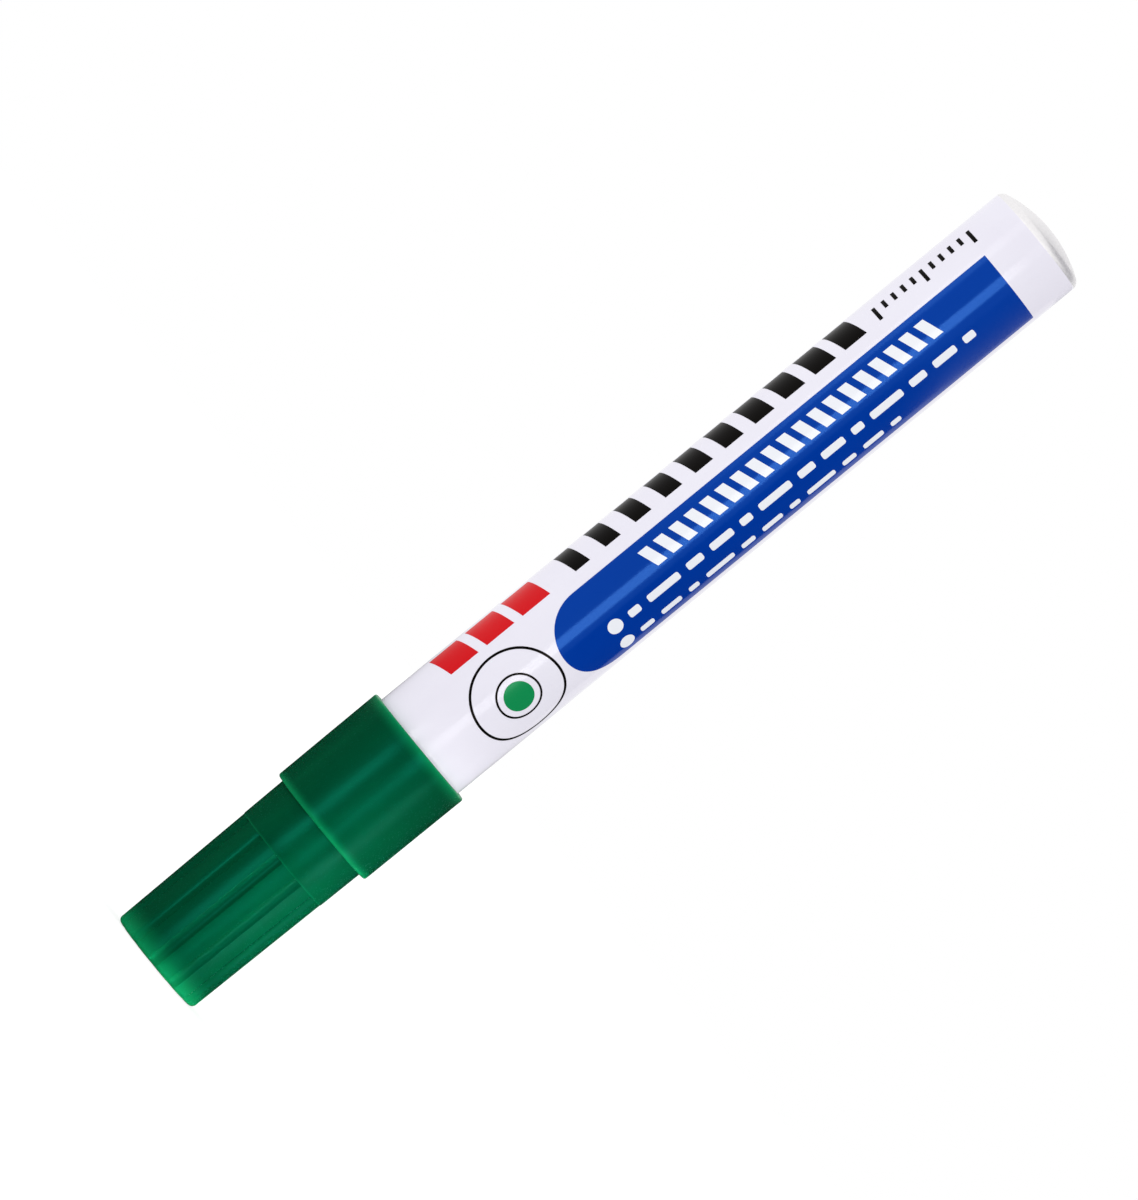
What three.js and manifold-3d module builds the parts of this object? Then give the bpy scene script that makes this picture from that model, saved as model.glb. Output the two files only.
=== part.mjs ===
// Permanent marker with an aluminium barrel, a bullet nib and a push-on cap.
// Millimetres. The marker stands on the flat end of its cap, and +Z runs along its axis to the domed tail.
import * as THREE from "three";
import { mergeVertices, toCreasedNormals } from "three/addons/utils/BufferGeometryUtils.js";
import Module from "manifold-3d";

const wasm = await Module();
wasm.setup();

// Fits between pieces
const seatGap = 0.02; // between two faces that rest on each other
const pressClearance = 0.03; // radial, between a pressed plug and its bore
const slideClearance = 0.055; // radial, between the barrel and the cap's grip ribs
const sealClearance = 0.03; // radial, between the nose's seal ring and the inner cap
const looseClearance = 0.3; // where a soft piece lies free of its neighbour
const filmClearance = 0.395; // radial, between the film sleeve and the barrel's bore

// Barrel: an impact extruded aluminium tube, open in front, closed by a shallow dome at the tail
const barrelRadius = 7.225;
const barrelWall = 0.4;
const barrelLength = 110;
const barrelRimRadius = 0.15; // rounding of the rim at the open end
const tailWall = 0.6;
const tailDomeRise = 1.67;
const tailEdgeRadius = 1.3;

// Cap shell, outside: a fluted end, a plain neck flush with the barrel, and a wide collar over the barrel
const flutedLength = 19.7;
const neckLength = 5.9;
const collarLength = 15.2;
const capDraft = 0.58; // degrees, fluted end and neck
const collarDraft = 0.28; // degrees
const flutedStep = 0.05; // how far the fluted end lies below the neck
const capEndRadius = 0.6;
const collarEdgeRadius = 0.35;
const mouthEdgeRadius = 0.3;
const collarWall = 0.67;

// Flutes of the cap's end
const fluteCount = 12;
const fluteDepth = 0.3;
const fluteCutterRadius = 1;
const flutePhase = -3; // degrees from -Y towards +X

// Cap shell, inside
const capEndWall = 1.2;
const capShellWall = 1.45; // at the neck, between the outside and the inner cap's seat
const capLedgeDepth = 1.1; // from the collar's outer step to the ledge that stops the pen
const capMouthChamfer = 0.35;
const gripRibCount = 6;
const gripRibHeight = 0.15;
const gripRibRadius = 0.3;
const gripRibInset = 1.4; // from the ledge and from the mouth

// Inner cap: a soft thimble that closes on the nose and keeps the nib wet
const innerCapWall = 0.8;
const innerCapFloor = 0.8;
const innerCapChamfer = 0.3;
const sealOverlap = 2.6; // length of the nose's seal land that lies inside the inner cap

// Nib holder: the moulded nose, pressed into the barrel's open end
const flangeThickness = 1.2;
const flangeInset = 0.075; // below the barrel's outside
const flangeEdgeRadius = 0.25;
const plugLength = 9;
const plugWall = 1;
const plugRingCount = 2;
const plugRingHeight = 0.2;
const plugRingLength = 0.9;
const plugRingPitch = 3;
const plugChamfer = 0.4;
const landLength = 5.8;
const sealRingHeight = 0.1;
const sealRingLength = 0.8;
const sealRingSetback = 1.2; // from the front edge of the seal land
const coneLength = 6.5;
const noseLength = 2.6;
const noseWall = 0.85;
const noseEdgeRadius = 0.3;
const nibGripLength = 8; // length of the bore that grips the nib
const holderWall = 1.05;
const ventCount = 3;
const ventRadius = 0.42;

// Nib: a round fibre rod with a bullet point
const nibRadius = 2;
const nibExposed = 4.6;
const nibTipRadius = 0.75;
const nibPointLength = 3.4;
const nibInsertion = 6; // how far the nib reaches into the reservoir
const nibChamfer = 0.35;
const nibClearance = 0.03;

// Reservoir: a fibre bundle in a thin film sleeve
const reservoirEdgeRadius = 0.5;
const filmThickness = 0.15;
const filmFrontInset = 1.5;
const filmRearInset = 0.8;

// Facets
const turnFacets = 60;
const nibFacets = 30;
const cutterFacets = 20;
const arcSteps = 2; // an arc gets twice as many chords

// Sizes that follow
const capDraftSlope = Math.tan(THREE.MathUtils.degToRad(capDraft));
const collarDraftSlope = Math.tan(THREE.MathUtils.degToRad(collarDraft));
const collarStart = flutedLength + neckLength;
const capLength = collarStart + collarLength;
const neckTopRadius = barrelRadius;
const neckStartRadius = neckTopRadius - neckLength * capDraftSlope;
const fluteLandRadius = neckStartRadius - flutedStep;
const capEndLandRadius = fluteLandRadius - flutedLength * capDraftSlope;
const collarBoreRadius = barrelRadius + slideClearance + gripRibHeight;
const collarStartRadius = collarBoreRadius + collarWall;
const collarMouthRadius = collarStartRadius + collarLength * collarDraftSlope;
const shellBoreRadius = neckTopRadius - capShellWall;
const ledgeZ = collarStart + capLedgeDepth;

const flangeFrontZ = ledgeZ + seatGap;
const rimZ = flangeFrontZ + flangeThickness;
const landFrontZ = flangeFrontZ - landLength;
const noseFrontZ = landFrontZ - coneLength - noseLength;
const nibTipZ = noseFrontZ - nibExposed;
const plugRearZ = rimZ + plugLength;

const innerCapRadius = shellBoreRadius - pressClearance;
const innerCapBoreRadius = innerCapRadius - innerCapWall;
const innerCapZ = capEndWall + seatGap;
const innerCapLength = landFrontZ + sealOverlap - innerCapZ;
const sealRingRadius = innerCapBoreRadius - sealClearance;
const landRadius = sealRingRadius - sealRingHeight;

const barrelBoreRadius = barrelRadius - barrelWall;
const barrelZ = rimZ + seatGap;
const reservoirZ = plugRearZ + seatGap;
const filmRadius = barrelBoreRadius - filmClearance;
const reservoirRadius = filmRadius - filmThickness - pressClearance;
const nibLength = reservoirZ + nibInsertion - nibTipZ;
const tailDomeRadius = (barrelRadius ** 2 + tailDomeRise ** 2) / (2 * tailDomeRise);
const tailDomeCentre = barrelLength - tailDomeRadius;
const tailInnerRadius = tailDomeRadius - tailWall;
const reservoirRearZ = barrelZ + tailDomeCentre + Math.sqrt(tailInnerRadius ** 2 - filmRadius ** 2) - looseClearance;
const reservoirLength = reservoirRearZ - reservoirZ;

// Shape helpers: a profile is drawn in (radius, height) and turned about Z
function revolve(profile, facets = turnFacets) {
  const turned = new THREE.LatheGeometry(profile.getPoints(arcSteps), facets);
  turned.rotateX(Math.PI / 2);
  return turned;
}

function solid(geometry) {
  const bare = geometry.clone();
  bare.deleteAttribute("normal");
  bare.deleteAttribute("uv");
  const merged = mergeVertices(bare, 1e-4);
  const vertProperties = merged.attributes.position.array;
  const triVerts = new Uint32Array(merged.index.array);
  return new wasm.Manifold(new wasm.Mesh({ numProp: 3, vertProperties, triVerts }));
}

function geometryOf(body) {
  const { vertProperties, triVerts } = body.getMesh();
  const made = new THREE.BufferGeometry();
  made.setAttribute("position", new THREE.BufferAttribute(vertProperties, 3));
  made.setIndex(new THREE.BufferAttribute(triVerts, 1));
  return toCreasedNormals(made, THREE.MathUtils.degToRad(25));
}

// A round bar along Z from one height to another, at a distance from the axis, leaning outwards by a slope
function bar(radius, from, to, distance, slope, turn) {
  const length = to - from;
  const made = new THREE.CylinderGeometry(radius, radius, length, cutterFacets);
  made.rotateX(Math.PI / 2);
  made.translate(0, 0, length / 2);
  made.rotateX(Math.atan(slope));
  made.translate(0, -distance, from);
  made.rotateZ(turn);
  return solid(made);
}

function ringOfBars(count, phase, place) {
  const bars = [];
  for (let index = 0; index < count; index += 1) {
    bars.push(place(THREE.MathUtils.degToRad(phase) + (index * 2 * Math.PI) / count));
  }
  return wasm.Manifold.union(bars);
}

// Cap shell
function capShellProfile() {
  const quarter = Math.PI / 2;
  const profile = new THREE.Path();
  profile.moveTo(0, 0);
  profile.lineTo(capEndLandRadius - capEndRadius, 0);
  profile.absarc(capEndLandRadius - capEndRadius, capEndRadius, capEndRadius, -quarter, 0, false);
  profile.lineTo(fluteLandRadius, flutedLength);
  profile.lineTo(neckStartRadius, flutedLength);
  profile.lineTo(neckTopRadius, collarStart);
  profile.absarc(
    collarStartRadius - collarEdgeRadius,
    collarStart + collarEdgeRadius,
    collarEdgeRadius,
    -quarter,
    0,
    false,
  );
  profile.absarc(collarMouthRadius - mouthEdgeRadius, capLength - mouthEdgeRadius, mouthEdgeRadius, 0, quarter, false);
  profile.lineTo(collarBoreRadius + capMouthChamfer * 0.5, capLength);
  profile.lineTo(collarBoreRadius, capLength - capMouthChamfer);
  profile.lineTo(collarBoreRadius, ledgeZ);
  profile.lineTo(shellBoreRadius, ledgeZ);
  profile.lineTo(shellBoreRadius, capEndWall);
  profile.lineTo(0, capEndWall);
  return profile;
}

function capShell() {
  const axisDistance = capEndLandRadius - fluteDepth + fluteCutterRadius;
  const flutes = ringOfBars(fluteCount, flutePhase, (turn) =>
    bar(fluteCutterRadius, -capEndRadius, flutedLength, axisDistance - capEndRadius * capDraftSlope, capDraftSlope, turn),
  );
  const ribDistance = collarBoreRadius - gripRibHeight + gripRibRadius;
  const ribs = ringOfBars(gripRibCount, flutePhase, (turn) =>
    bar(gripRibRadius, ledgeZ + gripRibInset, capLength - gripRibInset, ribDistance, 0, turn),
  );
  return geometryOf(solid(revolve(capShellProfile())).add(ribs).subtract(flutes));
}

// Inner cap, from its closed end
function innerCapProfile() {
  const profile = new THREE.Path();
  profile.moveTo(0, 0);
  profile.lineTo(innerCapRadius - innerCapChamfer, 0);
  profile.lineTo(innerCapRadius, innerCapChamfer);
  profile.lineTo(innerCapRadius, innerCapLength);
  profile.lineTo(innerCapBoreRadius + innerCapChamfer, innerCapLength);
  profile.lineTo(innerCapBoreRadius, innerCapLength - innerCapChamfer);
  profile.lineTo(innerCapBoreRadius, innerCapFloor);
  profile.lineTo(0, innerCapFloor);
  return profile;
}

// Barrel, from its open rim
function barrelProfile() {
  const edgeCentreRadius = barrelRadius - tailEdgeRadius;
  const edgeReach = tailDomeRadius - tailEdgeRadius;
  const edgeCentreZ = tailDomeCentre + Math.sqrt(edgeReach ** 2 - edgeCentreRadius ** 2);
  const edgeAngle = Math.atan2(edgeCentreZ - tailDomeCentre, edgeCentreRadius);
  const innerReach = Math.acos(barrelBoreRadius / tailInnerRadius);
  const profile = new THREE.Path();
  profile.moveTo(barrelBoreRadius, 0);
  profile.lineTo(barrelRadius - barrelRimRadius, 0);
  profile.absarc(barrelRadius - barrelRimRadius, barrelRimRadius, barrelRimRadius, -Math.PI / 2, 0, false);
  profile.absarc(edgeCentreRadius, edgeCentreZ, tailEdgeRadius, 0, edgeAngle, false);
  profile.absarc(0, tailDomeCentre, tailDomeRadius, edgeAngle, Math.PI / 2, false);
  profile.absarc(0, tailDomeCentre, tailInnerRadius, Math.PI / 2, innerReach, true);
  profile.lineTo(barrelBoreRadius, 0);
  return profile;
}

// Nib holder, with the flange's front face at height 0 and the nose below it
function nibHolderProfile() {
  const plugRadius = barrelBoreRadius - pressClearance - plugRingHeight;
  const flangeRadius = barrelRadius - flangeInset;
  const noseRootRadius = nibRadius + nibClearance + noseWall;
  const noseFront = noseFrontZ - flangeFrontZ;
  const plugRear = plugRearZ - flangeFrontZ;
  const gripEnd = noseFront + nibGripLength;
  const nibBoreRadius = nibRadius + nibClearance;
  const landBoreRadius = landRadius - holderWall;
  const plugBoreRadius = plugRadius - plugWall;
  const sealRingStart = -landLength + sealRingSetback;
  const profile = new THREE.Path();
  profile.moveTo(nibBoreRadius, noseFront);
  profile.lineTo(noseRootRadius - noseEdgeRadius, noseFront);
  profile.absarc(
    noseRootRadius - noseEdgeRadius,
    noseFront + noseEdgeRadius,
    noseEdgeRadius,
    -Math.PI / 2,
    0,
    false,
  );
  profile.lineTo(noseRootRadius, noseFront + noseLength);
  profile.lineTo(landRadius, -landLength);
  profile.lineTo(landRadius, sealRingStart);
  profile.lineTo(sealRingRadius, sealRingStart + sealRingLength / 4);
  profile.lineTo(sealRingRadius, sealRingStart + (sealRingLength * 3) / 4);
  profile.lineTo(landRadius, sealRingStart + sealRingLength);
  profile.lineTo(landRadius, 0);
  profile.absarc(flangeRadius - flangeEdgeRadius, flangeEdgeRadius, flangeEdgeRadius, -Math.PI / 2, 0, false);
  profile.lineTo(flangeRadius, flangeThickness);
  profile.lineTo(plugRadius, flangeThickness);
  for (let ring = 0; ring < plugRingCount; ring += 1) {
    const start = flangeThickness + plugRingPitch * (ring + 0.5);
    profile.lineTo(plugRadius, start);
    profile.lineTo(plugRadius + plugRingHeight, start + plugRingLength / 4);
    profile.lineTo(plugRadius + plugRingHeight, start + (plugRingLength * 3) / 4);
    profile.lineTo(plugRadius, start + plugRingLength);
  }
  profile.lineTo(plugRadius, plugRear - plugChamfer);
  profile.lineTo(plugRadius - plugChamfer, plugRear);
  profile.lineTo(plugBoreRadius, plugRear);
  profile.lineTo(plugBoreRadius, flangeThickness + plugWall);
  profile.lineTo(landBoreRadius, flangeThickness);
  profile.lineTo(landBoreRadius, gripEnd + (landBoreRadius - nibBoreRadius));
  profile.lineTo(nibBoreRadius, gripEnd);
  profile.lineTo(nibBoreRadius, noseFront);
  return profile;
}

function nibHolder() {
  const noseFront = noseFrontZ - flangeFrontZ;
  const vents = ringOfBars(ventCount, 0, (turn) =>
    bar(ventRadius, noseFront - noseEdgeRadius, noseFront + nibGripLength + ventRadius, nibRadius, 0, turn),
  );
  return geometryOf(solid(revolve(nibHolderProfile())).subtract(vents));
}

// Nib, from its point
function nibProfile() {
  const pointLean = Math.atan2(nibRadius - nibTipRadius, nibPointLength - nibTipRadius);
  const profile = new THREE.Path();
  profile.moveTo(0, 0);
  profile.absarc(0, nibTipRadius, nibTipRadius, -Math.PI / 2, -pointLean, false);
  profile.lineTo(nibRadius, nibPointLength);
  profile.lineTo(nibRadius, nibLength - nibChamfer);
  profile.lineTo(nibRadius - nibChamfer, nibLength);
  profile.lineTo(0, nibLength);
  return profile;
}

// Reservoir, from its front face, with the socket that the nib is pushed into
function reservoirProfile() {
  const quarter = Math.PI / 2;
  const edgeCentre = reservoirRadius - reservoirEdgeRadius;
  const socketRadius = nibRadius + nibClearance;
  const socketDepth = nibInsertion + looseClearance;
  const profile = new THREE.Path();
  profile.moveTo(0, socketDepth);
  profile.lineTo(socketRadius, socketDepth);
  profile.lineTo(socketRadius, 0);
  profile.absarc(edgeCentre, reservoirEdgeRadius, reservoirEdgeRadius, -quarter, 0, false);
  profile.absarc(edgeCentre, reservoirLength - reservoirEdgeRadius, reservoirEdgeRadius, 0, quarter, false);
  profile.lineTo(0, reservoirLength);
  return profile;
}

// Film sleeve round the reservoir, from its front edge
function filmProfile() {
  const length = reservoirLength - filmFrontInset - filmRearInset;
  const boreRadius = reservoirRadius + pressClearance;
  const profile = new THREE.Path();
  profile.moveTo(boreRadius, 0);
  profile.lineTo(filmRadius, 0);
  profile.lineTo(filmRadius, length);
  profile.lineTo(boreRadius, length);
  profile.lineTo(boreRadius, 0);
  return profile;
}

// Materials
const capGreen = new THREE.MeshStandardMaterial({ color: 0x01583e, roughness: 0.38, metalness: 0 });
const linerWhite = new THREE.MeshStandardMaterial({ color: 0xdfe3df, roughness: 0.5, metalness: 0 });
const barrelLacquer = new THREE.MeshStandardMaterial({ color: 0xebe9f2, roughness: 0.3, metalness: 0.1 });
const holderWhite = new THREE.MeshStandardMaterial({ color: 0xe9e9e4, roughness: 0.45, metalness: 0 });
const inkedFelt = new THREE.MeshStandardMaterial({ color: 0x0d6b47, roughness: 0.9, metalness: 0 });
const inkedFibre = new THREE.MeshStandardMaterial({ color: 0x0a4a33, roughness: 0.95, metalness: 0 });
const clearFilm = new THREE.MeshStandardMaterial({ color: 0xd9e2e0, roughness: 0.2, metalness: 0 });

// Assembly
function piece(name, geometry, material, height) {
  const mesh = new THREE.Mesh(geometry, material);
  mesh.name = name;
  mesh.position.z = height;
  return mesh;
}

const cap = new THREE.Group();
cap.add(piece("cap_shell", capShell(), capGreen, 0));
cap.add(piece("inner_cap", revolve(innerCapProfile()), linerWhite, innerCapZ));

const pen = new THREE.Group();
pen.add(piece("barrel", revolve(barrelProfile()), barrelLacquer, barrelZ));
pen.add(piece("nib_holder", nibHolder(), holderWhite, flangeFrontZ));
pen.add(piece("nib", revolve(nibProfile(), nibFacets), inkedFelt, nibTipZ));
pen.add(piece("ink_reservoir", revolve(reservoirProfile()), inkedFibre, reservoirZ));
pen.add(piece("reservoir_film", revolve(filmProfile()), clearFilm, reservoirZ + filmFrontInset));

const marker = new THREE.Group();
marker.add(cap, pen);

export default marker;
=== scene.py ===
import math

import bmesh
import bpy
from mathutils import Matrix, Vector


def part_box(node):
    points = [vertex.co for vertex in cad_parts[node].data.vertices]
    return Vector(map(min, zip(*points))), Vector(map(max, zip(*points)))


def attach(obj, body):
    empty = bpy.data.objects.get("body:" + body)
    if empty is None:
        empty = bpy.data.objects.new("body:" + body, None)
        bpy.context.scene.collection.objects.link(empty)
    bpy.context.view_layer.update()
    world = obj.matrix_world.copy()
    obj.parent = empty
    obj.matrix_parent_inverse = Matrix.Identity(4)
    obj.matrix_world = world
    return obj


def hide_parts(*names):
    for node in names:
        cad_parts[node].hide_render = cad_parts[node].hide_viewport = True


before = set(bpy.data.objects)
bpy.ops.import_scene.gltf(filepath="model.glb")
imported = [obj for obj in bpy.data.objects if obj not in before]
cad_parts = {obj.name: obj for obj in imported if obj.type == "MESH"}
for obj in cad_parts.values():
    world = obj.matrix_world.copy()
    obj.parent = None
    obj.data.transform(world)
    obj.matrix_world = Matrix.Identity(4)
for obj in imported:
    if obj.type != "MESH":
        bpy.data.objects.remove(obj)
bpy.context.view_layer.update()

# Profiles and patterns are drawn in millimetres and turned to metres when a piece is made
MM = 0.001


def size_of(node):
    """Radius, lowest and highest height of a round CAD node, in millimetres."""
    low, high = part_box(node)
    return high.y / MM, low.z / MM, high.z / MM


COLLAR_MOUTH_RADIUS, _, CAP_MOUTH = size_of("cap_shell")
INNER_CAP_RADIUS, INNER_CAP_END, INNER_CAP_MOUTH = size_of("inner_cap")
BARREL_RADIUS, BARREL_RIM, TAIL = size_of("barrel")
FLANGE_RADIUS, NOSE_FRONT, PLUG_REAR = size_of("nib_holder")
NIB_RADIUS, NIB_TIP, NIB_REAR = size_of("nib")

# Cap shell, outside
FLUTED_LENGTH = 19.7
COLLAR_START = 25.6
CAP_DRAFT = math.tan(math.radians(0.58))
COLLAR_DRAFT = math.tan(math.radians(0.28))
FLUTED_STEP = 0.05
NECK_START_RADIUS = BARREL_RADIUS - (COLLAR_START - FLUTED_LENGTH) * CAP_DRAFT
FLUTE_LAND_RADIUS = NECK_START_RADIUS - FLUTED_STEP
CAP_END_RADIUS = FLUTE_LAND_RADIUS - FLUTED_LENGTH * CAP_DRAFT
COLLAR_START_RADIUS = COLLAR_MOUTH_RADIUS - (CAP_MOUTH - COLLAR_START) * COLLAR_DRAFT
CAP_END_EDGE = 0.6
COLLAR_ROOT = 0.06
COLLAR_EDGE = 0.35
MOUTH_EDGE = 0.3

# The flutes stop a little below the neck, then the lands between them, then the foot of the step
FLUTE_RUN_OUT = 0.17
FLUTE_STOP = FLUTED_LENGTH - FLUTE_RUN_OUT
LAND_STOP = FLUTED_LENGTH - 0.14
STEP_FOOT = FLUTED_LENGTH - 0.12
STEP_FOOT_RADIUS = FLUTE_LAND_RADIUS + 0.01
FLUTE_COUNT = 12
FLUTE_DEPTH = 0.3
FLUTE_HALF_DEGREES = 6
FLUTE_PHASE = -3
FLUTE_CUT_RADII = (CAP_END_RADIUS - CAP_END_EDGE - 0.1, NECK_START_RADIUS)

# Cap shell, inside
COLLAR_BORE_RADIUS = BARREL_RADIUS + 0.205
SHELL_BORE_RADIUS = INNER_CAP_RADIUS + 0.03
SHELL_BORE_CORNER = 0.2
CAP_END_WALL = 1.2
LEDGE = COLLAR_START + 1.1
MOUTH_CHAMFER = 0.35
GRIP_RIB_COUNT = 6
GRIP_RIB_HEIGHT = 0.15
GRIP_RIB_HALF_DEGREES = 2
GRIP_RIB_INSET = 1.4
GRIP_RIB_RUN_OUT = 0.2

# Inner cap
INNER_CAP_WALL = 0.8
INNER_CAP_LIP = 0.3
INNER_CAP_EDGE = 0.15
INNER_CAP_CORNER = 0.5

# Barrel
BARREL_WALL = 0.4
RIM_EDGE = 0.15
TAIL_DOME_RISE = 1.67
TAIL_EDGE = 1.3
TAIL_WALL = 0.6
# The lacquer ends this many degrees round the tail's edge
LACQUER_END_DEGREES = 9.0

# Nose moulding
SEAT_GAP = 0.02
FLANGE_FRONT = LEDGE + SEAT_GAP
FLANGE_EDGE = 0.25
LAND_FRONT = FLANGE_FRONT - 5.8
LAND_WALL = 1.05
SEAL_CLEARANCE = 0.03
SEAL_RING_START = 1.2
SEAL_RING_WIDTH = 0.8
SEAL_RING_RISE = 0.1
SEAL_RING_ARC_RADIUS = 0.85
SEAL_RING_ARC_DEPTH = 0.75
SEAL_RING_HALF_DEGREES = 25
NOSE_LENGTH = 2.6
NOSE_WALL = 0.85
NOSE_EDGE = 0.3
PLUG_CLEARANCE = 0.03
PLUG_WALL = 1.0
PLUG_CHAMFER = 0.4
PLUG_FUNNEL = 1.0
PLUG_RING_RISE = 0.2
PLUG_RING_STARTS = (1.5, 4.5)
NIB_BORE_RADIUS = NIB_RADIUS + 0.03
NIB_GRIP_LENGTH = 8.0
NIB_BORE_MOUTH = 1.0
VENT_COUNT = 3
VENT_PHASE = 0
VENT_DEPTH = 0.42
VENT_HALF_DEGREES = 12

# Its small rounds and press rings: (outwards, upwards) from the corner where each one is
NOSE_ROOT_ROUND = ((0.0, -0.1), (0.05, 0.0))
LAND_FRONT_ROUND = ((-0.06, -0.12), (-0.01, -0.02), (0.0, 0.1))
FLANGE_ROOT_ROUND = ((0.0, -0.15), (0.04, -0.04), (0.15, 0.0))
PLUG_RING = ((0.0, 0.0), (PLUG_RING_RISE, 0.22), (PLUG_RING_RISE, 0.68), (0.0, 0.9))

# Nib
NIB_TIP_ROUND = 0.75
NIB_POINT_LENGTH = 3.4
NIB_SHOULDER = 0.2
NIB_SHOULDER_DROP = 0.03
NIB_CHAMFER = 0.35
NIB_COLUMNS = 120

# Print on the barrel: heights from the cap's end, angles in degrees from -Y towards +X
INK_THICKNESS = 0.018
INK_FOOT = 0.03
INK_STRIP_DEGREES = 1.5
BAND_ANGLES = (-21.0, 70.0)
BAND_HEIGHTS = (60.7, 129.65)
RING_MARK_PLACE = (23.5, 53.8)
# Radius and line width of each ring
RING_MARK_RINGS = ((6.05, 0.32), (2.9, 0.26))
RING_MARK_SPOT_RADIUS = 1.9
# Rows of bars: count, angles, first height, pitch, length, growth from bar to bar, slant
RED_BARS = (3, (-76, -36), 48.0, 5.5, 4.2, 0.0, 1.2)
BLACK_BARS = (10, (-80, -37), 67.2, 4.6, 2.2, 0.12, 1.2)
WHITE_HATCH = (19, (-11.0, 10.5), 75.4, 2.35, 1.4, 0.0, 1.0)
TICK_COUNT = 11
TICK_START = 115.2
TICK_PITCH = 1.45
TICK_WIDTH = 0.5
TICK_ANGLES = (-58, -46)
LONG_TICK_ANGLES = (-58, -38)
# White rows on the band: angles, start, stop, and the lengths that their rules go through
UPPER_WHITE_ROW = ((26.5, 35.0), 66.9, 126.4, (3.4, 1.7, 4.8, 2.4))
LOWER_WHITE_ROW = ((51.8, 59.0), 66.9, 111.8, (4.2, 2.0, 3.0, 1.5))
ROW_SPOT_RADIUS = 1.0
RULES_START = 3.1
RULE_GAP = 1.2
RULE_CORNER = 0.3

# Turning: one column of vertices for each degree
COLUMNS = 360
# How far a selection by place reaches past the vertices that it takes
PICK_MARGIN = 0.01

# The middle part of a noise node's output, where nearly all of its values lie
NOISE_RANGE = {"From Min": 0.3, "From Max": 0.7}


def circle_arc(centre_radius, centre_height, radius, start, end, steps):
    """Points of a fillet in a turned profile, angles in degrees from outwards towards +Z."""
    points = []
    for step in range(steps + 1):
        angle = math.radians(start + (end - start) * step / steps)
        points.append(
            (centre_radius + radius * math.cos(angle), centre_height + radius * math.sin(angle))
        )
    return points


def straight(start, end, steps):
    """Points between two corners of a profile, without the first."""
    points = []
    for step in range(1, steps + 1):
        points.append(
            (
                start[0] + (end[0] - start[0]) * step / steps,
                start[1] + (end[1] - start[1]) * step / steps,
            )
        )
    return points


def beside(corner, offsets):
    """Points of a profile, given as (outwards, upwards) from a corner."""
    return [(corner[0] + outwards, corner[1] + upwards) for outwards, upwards in offsets]


def turned(name, profile, closed=False, columns=COLUMNS):
    """A turned piece: a circle at the profile's first point, extruded and scaled point by point.

    An open profile gets a flat face over its first and last ring. A closed one comes back to
    its first ring.
    """
    bpy.ops.object.select_all(action="DESELECT")
    first_radius, first_height = profile[0]
    bpy.ops.mesh.primitive_circle_add(
        vertices=columns,
        radius=first_radius * MM,
        location=(0, 0, first_height * MM),
        rotation=(0, 0, -math.pi / 2),
    )
    piece = bpy.context.object
    piece.name = name
    piece.data.name = name
    bpy.ops.object.transform_apply(location=True, rotation=True, scale=True)
    bpy.ops.object.mode_set(mode="EDIT")
    bpy.ops.mesh.select_mode(type="VERT")
    bpy.ops.mesh.select_all(action="SELECT")
    if not closed:
        bpy.ops.mesh.edge_face_add()
        bpy.ops.mesh.select_mode(type="EDGE")
        bpy.ops.mesh.region_to_loop()
        bpy.ops.mesh.select_mode(type="VERT")
    for (radius, height), (next_radius, next_height) in zip(profile, profile[1:]):
        bpy.ops.mesh.extrude_edges_move(
            TRANSFORM_OT_translate={"value": (0, 0, (next_height - height) * MM)}
        )
        factor = next_radius / radius
        bpy.ops.transform.resize(
            value=(factor, factor, 1), center_override=(0, 0, next_height * MM)
        )
    if not closed:
        bpy.ops.mesh.edge_face_add()
    bpy.ops.mesh.select_all(action="SELECT")
    bpy.ops.mesh.remove_doubles(threshold=1e-7)
    bpy.ops.mesh.normals_make_consistent(inside=False)
    bpy.ops.object.mode_set(mode="OBJECT")
    return piece


def pick(piece, wanted):
    """In edit mode, selects the vertices whose place passes the test."""
    mesh = bmesh.from_edit_mesh(piece.data)
    for vertex in mesh.verts:
        vertex.select = wanted(vertex.co)
    mesh.select_flush(True)
    bmesh.update_edit_mesh(piece.data)


def degrees_round(place):
    """Angle of a place round the axis, in degrees from -Y towards +X."""
    return math.degrees(math.atan2(place.x, -place.y))


def offset_from_pattern(place, count, phase):
    """Whole degrees between a place and the nearest of evenly spaced features."""
    pitch = 360 / count
    turn = (degrees_round(place) - phase) % pitch
    return round(min(turn, pitch - turn))


def press_columns(piece, count, phase, half_degrees, depth, heights, radii):
    """Moves evenly spaced stripes of a turned wall towards the axis, outwards if depth is negative.

    The section of each stripe is the shallow arc that a round cutter leaves.
    """
    bpy.ops.object.mode_set(mode="EDIT")
    bpy.ops.mesh.select_mode(type="VERT")
    middle = sum(radii) / 2
    for offset in range(half_degrees):
        pick(
            piece,
            lambda place: heights[0] <= place.z / MM <= heights[1]
            and radii[0] <= math.hypot(place.x, place.y) / MM <= radii[1]
            and offset_from_pattern(place, count, phase) == offset,
        )
        share = 1 - (offset / half_degrees) ** 2
        factor = 1 - depth * share / middle
        bpy.ops.transform.resize(value=(factor, factor, 1), center_override=(0, 0, 0))
    bpy.ops.object.mode_set(mode="OBJECT")


def select_only(piece):
    """Selects one piece alone and makes it the active one."""
    bpy.ops.object.select_all(action="DESELECT")
    piece.select_set(True)
    bpy.context.view_layer.objects.active = piece


def finish_piece(piece, body, node=None, smooth_angle=32):
    """Smooth shading, the body a piece rides on and the CAD node that it stands for."""
    select_only(piece)
    bpy.ops.object.shade_smooth_by_angle(angle=math.radians(smooth_angle))
    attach(piece, body)
    if node:
        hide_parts(node)
    return piece


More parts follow.
